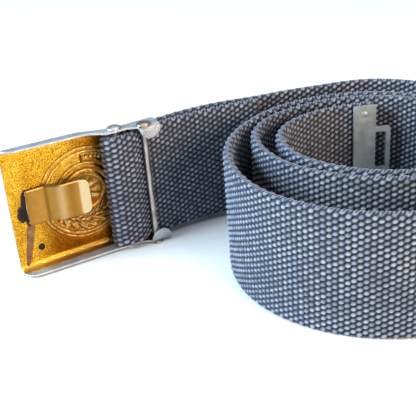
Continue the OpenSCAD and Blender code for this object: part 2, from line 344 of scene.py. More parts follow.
def feed(made, socket, value):
    """Sets a socket's value, or links another node's output to it."""
    if isinstance(value, bpy.types.NodeSocket):
        made.node_tree.links.new(value, socket)
    elif isinstance(value, tuple) and len(value) == 3 and socket.type == "RGBA":
        socket.default_value = (*value, 1)
    else:
        socket.default_value = value


def stretched(made, where, factors):
    node = made.node_tree.nodes.new("ShaderNodeVectorMath")
    node.operation = "MULTIPLY"
    feed(made, node.inputs[0], where)
    node.inputs[1].default_value = factors
    return node.outputs[0]


def position(made, stretch=(1, 1, 1)):
    """Place on the object in millimetres, stretched along its axes if asked."""
    where = made.node_tree.nodes.new("ShaderNodeTexCoord")
    return stretched(made, where.outputs["Object"], [k / MM for k in stretch])


def strap_position(made, stretch=(1, 1, 1)):
    """Place on the strap in millimetres along and across it, from its UV map."""
    where = made.node_tree.nodes.new("ShaderNodeUVMap")
    where.uv_map = "UVMap"
    return stretched(made, where.outputs["UV"], [k * UV_SCALE for k in stretch])


def noise(made, where, size, detail=3.0, roughness=0.55):
    """Cloudy pattern from 0 to 1; size is the size of its patches in millimetres."""
    node = made.node_tree.nodes.new("ShaderNodeTexNoise")
    feed(made, node.inputs["Vector"], where)
    node.inputs["Scale"].default_value = 1 / size
    node.inputs["Detail"].default_value = detail
    node.inputs["Roughness"].default_value = roughness
    return node.outputs["Fac"]


def cells(made, where, size):
    """Rounded cells from 0 at their edges to 1 in the middle; size is their pitch in millimetres."""
    node = made.node_tree.nodes.new("ShaderNodeTexVoronoi")
    feed(made, node.inputs["Vector"], where)
    node.inputs["Scale"].default_value = 1 / size
    return maths(made, "SUBTRACT", 1.0, node.outputs["Distance"])


def attribute(made, name):
    node = made.node_tree.nodes.new("ShaderNodeAttribute")
    node.attribute_name = name
    return node.outputs["Fac"]


def ramp(made, factor, *stops):
    """Colour that goes from stop to stop; each stop is a position and a colour or a grey."""
    node = made.node_tree.nodes.new("ShaderNodeValToRGB")
    feed(made, node.inputs["Fac"], factor)
    elements = node.color_ramp.elements
    while len(elements) < len(stops):
        elements.new(0.5)
    for element, (at, colour) in zip(elements, stops):
        element.position = at
        grey = not isinstance(colour, tuple)
        element.color = (colour, colour, colour, 1) if grey else (*colour, 1)
    return node.outputs["Color"]


def blend(made, factor, a, b, way="MIX"):
    node = made.node_tree.nodes.new("ShaderNodeMix")
    node.data_type = "RGBA"
    node.blend_type = way
    feed(made, node.inputs["Factor"], factor)
    feed(made, node.inputs[6], a)
    feed(made, node.inputs[7], b)
    return node.outputs[2]


def multiply(made, colour, by, share=1.0):
    """The colour multiplied by another one, wholly or by a share."""
    return blend(made, share, colour, by, "MULTIPLY")


def maths(made, operation, a, b):
    node = made.node_tree.nodes.new("ShaderNodeMath")
    node.operation = operation
    node.use_clamp = operation in ("ADD", "SUBTRACT")
    feed(made, node.inputs[0], a)
    feed(made, node.inputs[1], b)
    return node.outputs[0]


def ragged(made, value, where, size, amount):
    """The value with cloudy patches added, so that its edges turn uneven."""
    patches = maths(made, "SUBTRACT", noise(made, where, size, 4), 0.5)
    return maths(made, "ADD", value, maths(made, "MULTIPLY", patches, amount))


def bump(made, height, depth):
    """Small relief; depth is in millimetres."""
    node = made.node_tree.nodes.new("ShaderNodeBump")
    node.inputs["Strength"].default_value = 1.0
    node.inputs["Distance"].default_value = depth * MM
    feed(made, node.inputs["Height"], height)
    return node.outputs["Normal"]


def dress(made, shader, colour, shine, roughness, relief, depth):
    """Colour, a roughness that goes from low to high with the shine pattern, and small relief."""
    low, high = roughness
    feed(made, shader.inputs["Base Color"], colour)
    feed(made, shader.inputs["Roughness"], ramp(made, shine, (0.3, low), (0.7, high)))
    feed(made, shader.inputs["Normal"], bump(made, relief, depth))


def webbing_material():
    """Blue-grey yarn: painted shade between the floats and lighter float tops, painted warm shade where it
    turns round the bar, each float a little different, fine filaments.
    """
    made, shader = new_material("webbing_yarn", Roughness=0.62, Sheen_Weight=0.25, Sheen_Roughness=0.4)
    on_strap = strap_position(made)
    # painted shade: the colour goes near black down between the floats and is lightest on the floats' tops
    body = ramp(made, attribute(made, "depth"), (0.0, (0.004, 0.006, 0.013)), (0.40, (0.012, 0.018, 0.038)),
                (0.68, (0.135, 0.155, 0.215)), (1.0, (0.34, 0.385, 0.49)))
    each = ramp(made, attribute(made, "yarn"),
                (0.0, (0.78, 0.80, 0.84)), (0.5, (1.0, 1.0, 1.0)), (1.0, (1.16, 1.13, 1.08)))
    body = multiply(made, body, each)
    patches = ramp(made, noise(made, on_strap, 26, 4), (0.3, (0.86, 0.88, 0.94)), (0.7, (1.1, 1.07, 1.0)))
    body = multiply(made, body, patches)
    filaments = noise(made, strap_position(made, (0.35, 2.2, 1)), 0.3, 2)
    body = multiply(made, body, ramp(made, filaments, (0.3, 0.45), (0.7, 1.0)), 0.35)
    # painted warm shade where the strap turns round the clamp bar, as of the gold plate reflected into its
    # fold
    body = multiply(made, body, (0.62, 0.30, 0.17), attribute(made, "wear_and_painted_light"))
    scorched = noise(made, on_strap, 1.6, 4)
    crust = ramp(made, scorched, (0.35, (0.035, 0.028, 0.016)), (0.7, (0.17, 0.13, 0.06)))
    feed(made, shader.inputs["Base Color"], blend(made, attribute(made, "sealed"), body, crust))
    feed(made, shader.inputs["Normal"], bump(made, filaments, 0.10))
    return made


def gilt_material():
    """Stamped sheet: gilded inside, dull silver on the flanges and outside, darker orange where the medallion
    is sunk, specked and worn, with painted shade on the plate, a painted highlight along the fold and a
    painted warm reflection on the flanges.
    """
    made, shader = new_material("stamped_sheet")
    here = position(made)
    gold = ramp(made, noise(made, here, 9, 5), (0.25, (0.43, 0.225, 0.014)), (0.5, (0.60, 0.365, 0.030)),
                (0.75, (0.78, 0.53, 0.075)))
    gold = blend(made, attribute(made, "sunk"), gold, (0.36, 0.13, 0.012))
    gold = multiply(made, gold, (0.42, 0.25, 0.15), attribute(made, "shade"))
    grains = cells(made, here, 0.46)
    pits = ramp(made, grains, (0.35, (0.58, 0.47, 0.30)), (0.72, (1.12, 1.10, 1.05)))
    gold = multiply(made, gold, pits, attribute(made, "plain"))
    silver = ramp(made, noise(made, here, 6, 5), (0.3, (0.30, 0.34, 0.39)), (0.7, (0.48, 0.52, 0.56)))
    # this attribute holds the real gilding and, on the flanges, a painted warm reflection growing towards the
    # right
    gilt_and_reflection = ragged(made, attribute(made, "gilt_and_reflection"), here, 2.2, 0.7)
    plated_and_reflecting = ramp(made, gilt_and_reflection, (0.42, 0.0), (0.58, 1.0))
    coat = blend(made, plated_and_reflecting, silver, gold)
    feed(made, shader.inputs["Metallic"], ramp(made, plated_and_reflecting, (0.0, 0.6), (1.0, 1.0)))
    patchy = ramp(made, noise(made, here, 1.4, 4), (0.35, 0.2), (0.6, 1.0))
    # the worn attribute holds real wear on the medallion's high spots, rims and outside, and a painted
    # highlight along the fold
    wear_and_painted_light = maths(made, "MULTIPLY", attribute(made, "worn"), patchy)
    coat = blend(made, wear_and_painted_light, coat, blend(made, plated_and_reflecting, (0.66, 0.66, 0.64), (0.86, 0.62, 0.22)))
    specks = ramp(made, noise(made, here, 0.9, 3), (0.66, 0.0), (0.74, 1.0))
    coat = blend(made, maths(made, "MULTIPLY", specks, 0.5), coat, (0.10, 0.06, 0.03))
    dress(made, shader, coat, noise(made, here, 3, 4), (0.30, 0.46), grains, 0.16)
    return made


def metal_material(name, colours, patch, roughness, grain=(1, 1, 1), metallic=1.0):
    """Plain worn metal: cloudy from dark to light, uneven shine, fine grain that can run one way."""
    made, shader = new_material(name, Metallic=metallic)
    here = position(made)
    dark, middle, light = colours
    tint = ramp(made, noise(made, here, patch, 5), (0.3, dark), (0.5, middle), (0.72, light))
    grains = noise(made, position(made, grain), 0.3, 3)
    tint = multiply(made, tint, ramp(made, grains, (0.3, 0.55), (0.7, 1.0)), 0.3)
    dress(made, shader, tint, noise(made, here, patch / 3, 4), roughness, grains, 0.02)
    return made


def hook_material():
    """Satin brass brushed up and down, with painted shade bands along its bends, a stained foot and a painted
    cream highlight on its tip.
    """
    made, shader = new_material("satin_brass", Metallic=1.0)
    clouds = noise(made, position(made), 11, 3)
    tint = ramp(made, clouds, (0.3, (0.29, 0.13, 0.018)), (0.7, (0.42, 0.21, 0.04)))
    brushed = noise(made, position(made, (3.0, 3.0, 0.22)), 0.5, 3)
    tint = multiply(made, tint, ramp(made, brushed, (0.3, 0.6), (0.7, 1.0)), 0.35)
    # painted shade bands along the bends, and the brazed foot stained
    tint = blend(made, attribute(made, "stain_and_painted_shade"), tint, (0.17, 0.065, 0.008))
    # painted highlight: a cream tip and a lighter band along the run
    tint = blend(made, attribute(made, "painted_highlight"), tint, (0.68, 0.51, 0.29))
    dress(made, shader, tint, brushed, (0.26, 0.38), brushed, 0.02)
    return made


def residue_material():
    """Burnt flux: near black lumps with rust-brown thin edges."""
    made, shader = new_material("flux_residue", Specular_IOR_Level=0.22)
    here = position(made)
    thin = ragged(made, attribute(made, "thin"), here, 1.5, 0.8)
    tint = ramp(made, thin, (0.25, (0.012, 0.010, 0.009)), (0.6, (0.05, 0.026, 0.014)),
                (0.85, (0.24, 0.085, 0.022)))
    dress(made, shader, tint, noise(made, here, 0.8, 4), (0.55, 0.9), noise(made, here, 0.35, 4), 0.12)
    return made


WEBBING = webbing_material()
GILT = gilt_material()
HOOK_BRASS = hook_material()
RESIDUE = residue_material()
BRIGHT_STEEL = metal_material(
    "bright_steel", [(0.50, 0.54, 0.57), (0.64, 0.68, 0.71), (0.76, 0.80, 0.82)], 3, (0.30, 0.46))
ROD_STEEL = metal_material(
    "rod_steel", [(0.28, 0.22, 0.18), (0.42, 0.35, 0.30), (0.56, 0.50, 0.46)], 5, (0.26, 0.42), (1, 1, 0.25))
ZINC = metal_material(
    "dull_zinc", [(0.32, 0.37, 0.40), (0.43, 0.49, 0.52), (0.53, 0.59, 0.61)], 5, (0.42, 0.62), metallic=0.75)
RUST = metal_material(
    "flux_stain", [(0.11, 0.045, 0.014), (0.19, 0.085, 0.032), (0.27, 0.14, 0.06)], 2.5, (0.5, 0.7),
    metallic=0.3)

# ---------- webbing

PICK = 1.85  # distance between weft threads along the strap
ROW = 2.1  # pitch of the floats across the strap
CORE = 0.9  # half thickness under the floats
FLOAT_HEIGHT = HALF - CORE
FLOAT_LONG, FLOAT_TALL = 1.04, 0.88  # half sizes of one float
FLOAT_TILT = 0.17  # how much the floats lean up to the right
EDGE_RADIUS = 1.0  # of the core's rounded edges
EDGE_CORD = 0.35  # how far the edge thread stands off the core
STEPS_ALONG = 5  # mesh steps per weft thread
STEPS_ACROSS = 6  # mesh steps per float row
FACE_STOP = STRAP_WIDTH / 2 - EDGE_CORD - EDGE_RADIUS
CORD_PITCH = PICK / 1.5  # of the fine cords over the edges
EDGE_STEPS = 9  # odd, so that an edge's middle lies between two points
SEAL = 1.3  # length of webbing stiffened by the sealed cut
FLEX = 9.0  # how far each side of the lead's hinge the webbing bends


def floats(s, h, face):
    """Height of the woven floats from 0 to 1, and the random number of the nearest one."""
    best = np.zeros(s.shape)
    number = np.full(s.shape, 0.5)
    for step in (-1, 0, 1):
        column = np.round(s / PICK) + step
        offset = ((column + face) % 2) * 0.5
        row = np.round(h / ROW - offset)
        mine = scatter(column, row, face)
        across = h - (row + offset) * ROW + 0.12 * (scatter(column, row, face + 5) - 0.5)
        along = s - column * PICK + 0.2 * (mine - 0.5)
        across = across + (FLOAT_TILT if face == 0 else -FLOAT_TILT) * along
        size = 0.94 + 0.12 * scatter(column, row, face + 9)
        left = 1 - (np.abs(along) / FLOAT_LONG) ** 2.0 - (across / (FLOAT_TALL * size)) ** 2
        height = np.sqrt(np.maximum(left, 0)) * (0.86 + 0.14 * mine)
        number = np.where(height > best, mine, number)
        best = np.maximum(best, height)
    return best, number


def strap_ring():
    """The core's outline across the strap.

    For each point: offset, height, outward way, face (1, -1, or 0 at an edge) and angle round the edge.
    """
    middle_low = EDGE_CORD + EDGE_RADIUS
    middle_high = STRAP_WIDTH - middle_low
    count = int(round((middle_high - middle_low) / ROW * STEPS_ACROSS))
    up = np.linspace(middle_low, middle_high, count + 1)
    turn = np.linspace(0, math.pi, EDGE_STEPS + 1)[1:-1]
    one = np.ones(count + 1)
    none = np.zeros(count + 1)
    offset = np.concatenate([CORE * one, CORE * np.cos(turn), -CORE * one, -CORE * np.cos(turn)])
    height = np.concatenate([up, middle_high + EDGE_RADIUS * np.sin(turn),
                             up[::-1], middle_low - EDGE_RADIUS * np.sin(turn)])
    way_side = np.concatenate([one, np.cos(turn), -one, -np.cos(turn)])
    way_up = np.concatenate([none, np.sin(turn), none, -np.sin(turn)])
    face = np.concatenate([one, 0 * turn, -one, 0 * turn])
    angle = np.concatenate([none, turn, none + math.pi, turn])
    return offset, height, way_side, way_up, face, angle


RING = strap_ring()


def strap_surface(s, seal_from, seal_to):
    """Points of the strap's woven surface for rings at distances s, with its yarn attributes."""
    offset, height, way_side, way_up, face, angle = (row[None, :] for row in RING)
    along = s[:, None] + 0 * offset
    h = height - STRAP_WIDTH / 2 + 0 * along
    on_edge = face == 0
    from_face = np.where(on_edge, np.minimum(angle, math.pi - angle), 0)
    h_wrapped = np.where(on_edge, np.sign(h) * (FACE_STOP + EDGE_RADIUS * from_face), h)
    outer, outer_number = floats(along, h_wrapped, 0)
    inner, inner_number = floats(along, h_wrapped, 1)
    outer_side = (face > 0) | (on_edge & (angle < math.pi / 2))
    raised = np.where(outer_side, outer, inner)
    number = np.where(outer_side, outer_number, inner_number)
    cord = 0.62 + 0.38 * np.sin(2 * math.pi * along / CORD_PITCH + 2.6 * angle)
    over = smooth_step(from_face, 0.5, 1.3)
    raised = raised * (1 - over) + np.maximum(0.6 * raised, cord) * over
    rise = raised * (EDGE_CORD + (FLOAT_HEIGHT - EDGE_CORD) * np.cos(from_face))
    # float height, which the webbing's colour turns into painted shade between the floats
    depth = raised * (1 - 0.12 * over)
    sealed = np.zeros(along.shape)
    if seal_from is not None:
        sealed = 1 - smooth_step(along, seal_from, seal_from + SEAL)
    if seal_to is not None:
        sealed = np.maximum(sealed, smooth_step(along, seal_to - SEAL, seal_to))
    rise = rise * (1 - 0.75 * sealed)
    centre = middle_line(s)
    side = side_way(s)
    out = offset + rise * way_side
    points = np.empty(along.shape + (3,))
    points[..., :2] = centre[:, None] + side[:, None] * out[..., None]
    waviness = 0.18 * drift(s, 0 * s, 34, 4)[:, None] * np.clip(height / 8, 0, 1)
    points[..., 2] = base_height(s)[:, None] + height + rise * way_up + waviness
    # painted warm shade, as of the gold plate reflected into the strap's fold
    wear_and_painted_light = bell(along - BAR_TURN, 1.9)  # where the strap turns round the bar
    return points, {"depth": depth, "yarn": number, "sealed": sealed, "wear_and_painted_light": wear_and_painted_light}


def surface_normals(points):
    """Normals of a grid of points closed round its columns, from the steps between neighbours."""
    along = np.gradient(points, axis=0)
    around = np.roll(points, -1, axis=1) - np.roll(points, 1, axis=1)
    return unit(np.cross(around, along))


def snap(s):
    """The whole number of weft threads nearest to distance s, as a distance."""
    return round(s / PICK) * PICK


def webbing(name, start, stop, cut_start=False, cut_stop=False):
    """One stretch of the woven strap between two distances along it, closed where it is cut."""
    step = PICK / STEPS_ALONG
    inside = np.arange(math.floor(start / step) + 1, math.ceil(stop / step - 1e-6)) * step
    inside = inside[(inside > start + 1e-4) & (inside < stop - 1e-4)]
    s = np.concatenate([[start], inside, [stop]])
    wide = np.concatenate([[start - step], s, [stop + step]])
    seal_from = start if cut_start else None
    seal_to = stop if cut_stop else None
    points, values = strap_surface(np.clip(wide, 0, START["stop"]), seal_from, seal_to)
    normals = surface_normals(points)
    points, normals = points[1:-1], normals[1:-1]
    values = {key: value[1:-1] for key, value in values.items()}
    rows, columns = points.shape[:2]
    faces = [grid_faces(rows, columns, True)]
    perimeter = distances(np.concatenate([points[0], points[0][:1]]))
    i, j = np.meshgrid(np.arange(rows - 1), np.arange(columns), indexing="ij")
    u = s[np.stack([i, i + 1, i + 1, i], -1)]
    v = perimeter[np.stack([j, j, j + 1, j + 1], -1)]
    uv = [np.stack([u, v], -1).reshape(-1, 2) / UV_SCALE]
    last_on_face = columns // 2 - EDGE_STEPS
    half_edge = (EDGE_STEPS - 1) // 2
    for cut, row in ((cut_start, 0), (cut_stop, rows - 1)):
        if cut:
            j = np.arange(-half_edge, last_on_face + half_edge)
            other = columns - EDGE_STEPS - j
            lid = np.stack([j, j + 1, other - 1, other], -1) % columns + row * columns
            if row == 0:
                lid = lid[:, ::-1]
            faces.append(lid)
            uv.append(np.zeros((lid.size, 2)))
    return make_mesh(name, points, np.concatenate(faces)[:, ::-1], values, normals,
                     np.concatenate(uv).reshape(-1, 4, 2)[:, ::-1].reshape(-1, 2))


def rigid_webbing(name, start, stop, body, nodes=(), **cuts):
    finish_piece(webbing(name, start, stop, **cuts), body, WEBBING, nodes)


def flexing_webbing(name, start, stop):
    """A stretch between two bodies, put on neither, with its place baked into its points."""
    made = webbing(name, start, stop)
    finish_piece(made, None, WEBBING)
    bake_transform(made)


def build_webbing():
    """The strap in stretches: rigid ones on each body, and ones between two bodies that ride on none."""
    root = 3 * PICK
    tail_root = snap(START["loop"])
    mouth = snap(START["lead"])
    hinge = snap(START["outer"])
    end_hinge = snap(START["end"])
    flex = snap(FLEX)
    end_flex = 2 * PICK
    rigid_webbing("webbing_tail", 0.0, tail_root - root, "tail", ["strap_tail"], cut_start=True)
    flexing_webbing("webbing_tail_root", tail_root - root, tail_root + PICK)
    rigid_webbing("webbing_loop", tail_root + PICK, mouth - PICK, "loop", ["strap_loop"])
    flexing_webbing("webbing_mouth", mouth - PICK, mouth + root)
    rigid_webbing("webbing_lead", mouth + root, hinge - flex, "lead", ["strap_lead"])
    flexing_webbing("webbing_lead_bend", hinge - flex, hinge + flex)
    turns = [("outer", hinge + flex, START["middle"], 3),
             ("middle", START["middle"], START["inner"], 2),
             ("inner", START["inner"], end_hinge - end_flex, 2)]
    for turn, start, stop, parts in turns:
        cuts = [snap(start + (stop - start) * k / parts) for k in range(parts + 1)]
        for k in range(parts):
            nodes = [f"strap_{turn}_turn"] if k == 0 else []
            rigid_webbing(f"webbing_{turn}_{k + 1}", cuts[k], cuts[k + 1], "roll", nodes)
    flexing_webbing("webbing_end_bend", end_hinge - end_flex, end_hinge + end_flex)
    stop = START["stop"]
    rigid_webbing("webbing_end", end_hinge + end_flex, stop, "inner_end", ["strap_end"], cut_stop=True)


build_webbing()

# ---------- buckle

SHEET = 0.9
RIGHT_END = 16.0
LEFT_END = -41.5
HALF_SHELL = (shell_high.z - shell_low.z) / 2
PLATE_V = WRAP + HALF + PLATE_GAP  # inner face of the plate
FOLD = 1.9  # inner radius of the fold between plate and flange
EAR_V = ROD_V - PIN - LAYER_GAP  # inner face of the ears
EAR_FOLD = 0.5
EAR_RADIUS = 4.2
EAR_U = RIGHT_END - EAR_RADIUS
CORNER = 5.5
FLANGE_IN = HALF_SHELL - SHEET  # inner face of a flange
EMBLEM_U = -12.0
EMBLEM_RADIUS = 18.5
EMBLEM_DRAWN = 17.25  # the radius that the medallion's pattern is drawn for
GRAIN = 0.72  # pitch of the pebble grain
GRAIN_DEPTH = 0.15  # on the inner face
GRAIN_OUTSIDE = 0.08
PULLED_OPEN = 1.8  # how far the upper flange is bent up at its left end
FLANGE_SLOPE = 1.6  # how far its free edge dips behind the pin heads
WARP = 0.16  # waviness of the plate
DENTS = 0.05  # waviness of the flanges
PLATE_REACH = FLANGE_IN - FOLD  # distances across the sheet, from the plate's middle outwards
FOLD_REACH = FOLD * math.pi / 2
FLANGE_REACH = (PLATE_V - FOLD) - (EAR_V + EAR_FOLD)
EAR_FOLD_REACH = EAR_FOLD * math.pi / 2
RIM_STEPS = 6  # mesh steps round a sheet's edge
ROUND_STEPS = 48  # mesh steps round a pin


def buckle_point(u, v, h):
    """Points of the buckle's axes in the row frame."""
    flat = place(u, v)
    return np.concatenate([flat, (BUCKLE_Z + h + 0 * u)[..., None]], -1)


def buckle_way(du, dv, dh):
    """Directions of the buckle's axes in the row frame."""
    flat = np.multiply.outer(du, ALONG) + np.multiply.outer(dv, AWAY)
    return np.concatenate([flat, np.asarray(dh)[..., None]], -1)


def solid_sheet(name, inner, normal, thick, outer_rise, values):
    """A closed sheet: an inner face, the way to the outer face, and a half-round rim between them.

    values holds, for each attribute, its inner face, rim and outer face values.
    """
    rows, columns = inner.shape[:2]
    outer = inner + normal * (thick + outer_rise)[..., None]
    edge = [(0, j) for j in range(columns)]
    edge += [(i, columns - 1) for i in range(1, rows)]
    edge += [(rows - 1, j) for j in range(columns - 2, -1, -1)]
    edge += [(i, 0) for i in range(rows - 2, 0, -1)]
    i, j = np.array(edge).T
    away = inner[i, j] - inner[np.clip(i, 1, rows - 2), np.clip(j, 1, columns - 2)]
    across = normal[i, j]
    away = unit(away - across * (away * across).sum(-1, keepdims=True))
    span = outer[i, j] - inner[i, j]
    rim = [inner[i, j] + span * (1 - math.cos(a)) / 2 + away * thick / 2 * math.sin(a)
           for a in np.linspace(0, math.pi, RIM_STEPS + 1)[1:-1]]
    count = rows * columns
    ring = len(edge)
    points = np.concatenate([inner.reshape(-1, 3)] + rim + [outer.reshape(-1, 3)])
    outer_first = count + ring * len(rim)
    faces = [grid_faces(rows, columns), grid_faces(rows, columns, first=outer_first)[:, ::-1]]
    loops = [i * columns + j] + [count + ring * k + np.arange(ring) for k in range(len(rim))]
    loops.append(outer_first + i * columns + j)
    for a, b in zip(loops, loops[1:]):
        faces.append(np.stack([a, np.roll(a, -1), np.roll(b, -1), b], -1))
    attributes = {}
    for key, (inside, on_rim, outside) in values.items():
        fill = [np.broadcast_to(inside, (rows, columns)).ravel(), np.full(ring * len(rim), on_rim),
                np.broadcast_to(outside, (rows, columns)).ravel()]
        attributes[key] = np.concatenate(fill)
    return make_mesh(name, points, np.concatenate(faces), attributes)


def leaf_spray(x, y):
    """A generic spray of leaves along the lower half of the medallion."""
    total = np.zeros(x.shape)
    leaves = 9
    for k in range(leaves):
        for ring, lean in ((9.2, 0.7), (12.2, -0.6)):
            angle = math.radians(205 + 130 * (k + 0.5 * (ring > 10)) / leaves)
            cx, cy = ring * math.cos(angle), ring * math.sin(angle)
            way = angle + math.pi / 2 + lean
            along = (x - cx) * math.cos(way) + (y - cy) * math.sin(way)
            across = -(x - cx) * math.sin(way) + (y - cy) * math.cos(way)
            leaf = 1 - (along / 2.6) ** 2 - (across / (1.05 - 0.2 * along / 2.6)) ** 2
            shape = np.sqrt(np.maximum(leaf, 0)) * (1 - 0.45 * bell(across, 0.22))
            total = np.maximum(total, shape)
    return total


def rosette(x, y):
    """Generic petals round the medallion's middle."""
    r = np.hypot(x, y)
    angle = np.arctan2(y, x)
    petals = np.abs(np.cos(4 * angle)) ** 0.6
    return petals * bell(r - 3.3, 1.9) * 0.8 + bell(r, 0.9)


def beads(x, y):
    """A generic row of small beads round the upper part of the medallion's band."""
    pitch, ring = 6.5, 12.9  # degrees from bead to bead, and radius of the row
    r = np.hypot(x, y)
    angle = np.degrees(np.arctan2(y, x))
    phase = (angle / pitch) % 1 - 0.5
    dots = bell(np.hypot(phase * math.radians(pitch) * ring, r - ring), 0.42)
    return dots * smooth_step(angle, 8, 16) * (1 - smooth_step(angle, 82, 90))


def medallion(u, h):
    """How far the stamped medallion stands out from the plate, towards its outer side."""
    shrink = EMBLEM_DRAWN / EMBLEM_RADIUS
    x, y = (u - EMBLEM_U) * shrink, h * shrink
    r = np.hypot(x, y)
    angle = np.degrees(np.arctan2(y, x))
    field = 0.55 * (1 - smooth_step(r, 14.2, 15.4))
    rings = 0.75 * bell(r - 16.5, 0.42) + 0.55 * bell(r - 15.2, 0.42) + 0.7 * bell(r - 10.6, 0.5)
    upper = smooth_step(angle, 88, 93) * (1 - smooth_step(angle, 176, 184))
    band = 0.5 * upper * smooth_step(r, 10.9, 11.4) * (1 - smooth_step(r, 14.2, 14.7))
    inner_arc = 0.5 * bell(r - 8.1, 0.55) * smooth_step(y, -1, 2)
    dish = 0.45 * (1 - smooth_step(r, 6.4, 7.4))
    raised = 0.75 * leaf_spray(x, y) + 0.7 * rosette(x, y) * (1 - smooth_step(r, 5.2, 6.2))
    raised += 0.45 * beads(x, y)
    worn = 0.08 * drift(x, y, 5, 11)
    return (field + rings - band + inner_arc + dish + raised + worn) * (1 - smooth_step(r, 16.9, 17.3))


def flange_edge(u, side):
    """Where the free edge of a flange lies: round at the left corner, deepest at the ears."""
    first, second = (0.7, 0.5) if side > 0 else (-1.2, -2.0)
    stops = [LEFT_END + CORNER, -9, -3.2, 4, 8.4, RIGHT_END]
    edge = np.interp(u, stops, [first, second, -2.3, -2.6, EAR_V, EAR_V])
    inset = np.clip(LEFT_END + CORNER - u, 0, CORNER)
    corner = min(CORNER, PLATE_V - first)
    rounded = first + corner - np.sqrt(np.maximum(corner**2 - (inset * corner / CORNER) ** 2, 0))
    return np.where(inset > 0, rounded, edge)


def flange_lift(u):
    """How much higher the upper flange stands towards the left end, where it has been pulled open."""
    return np.interp(u, [LEFT_END, -13, -4], [PULLED_OPEN, 0.8, 0.0])


def section_reach(u, side):
    """Distance across the sheet, from the plate's middle to its free edge, at each place along it."""
    edge = flange_edge(u, side)
    on_fold = FOLD * np.arccos(np.clip((edge - (PLATE_V - FOLD)) / FOLD, -1, 1))
    on_flange = FOLD_REACH + (PLATE_V - FOLD) - edge
    reach = PLATE_REACH + np.where(edge > PLATE_V - FOLD, on_fold, on_flange)
    drop = np.sqrt(np.maximum(EAR_RADIUS**2 - (u - EAR_U) ** 2, 0))
    ear = PLATE_REACH + FOLD_REACH + FLANGE_REACH
    ear = ear + EAR_FOLD_REACH * np.clip(drop / EAR_FOLD, 0, 1) + np.maximum(drop - EAR_FOLD, 0)
    return np.where(np.abs(u - EAR_U) < EAR_RADIUS, ear, reach) - SHEET / 2


def section(q):
    """Place (v, h) and outward way of the sheet's inner face at distance q above the plate's middle."""
    past_fold = q - PLATE_REACH - FOLD_REACH
    past_flange = past_fold - FLANGE_REACH
    fold = np.clip((q - PLATE_REACH) / FOLD, 0, math.pi / 2)
    ear = np.clip(past_flange / EAR_FOLD, 0, math.pi / 2)
    v = PLATE_V - FOLD * (1 - np.cos(fold)) - np.clip(past_fold, 0, FLANGE_REACH) - EAR_FOLD * np.sin(ear)
    h = np.minimum(q, PLATE_REACH) + FOLD * np.sin(fold) - EAR_FOLD * (1 - np.cos(ear))
    h = h - np.maximum(past_flange - EAR_FOLD_REACH, 0)
    way_v = np.cos(fold) - np.sin(ear)
    way_h = np.sin(fold) * np.cos(ear)
    return v, h, way_v, way_h


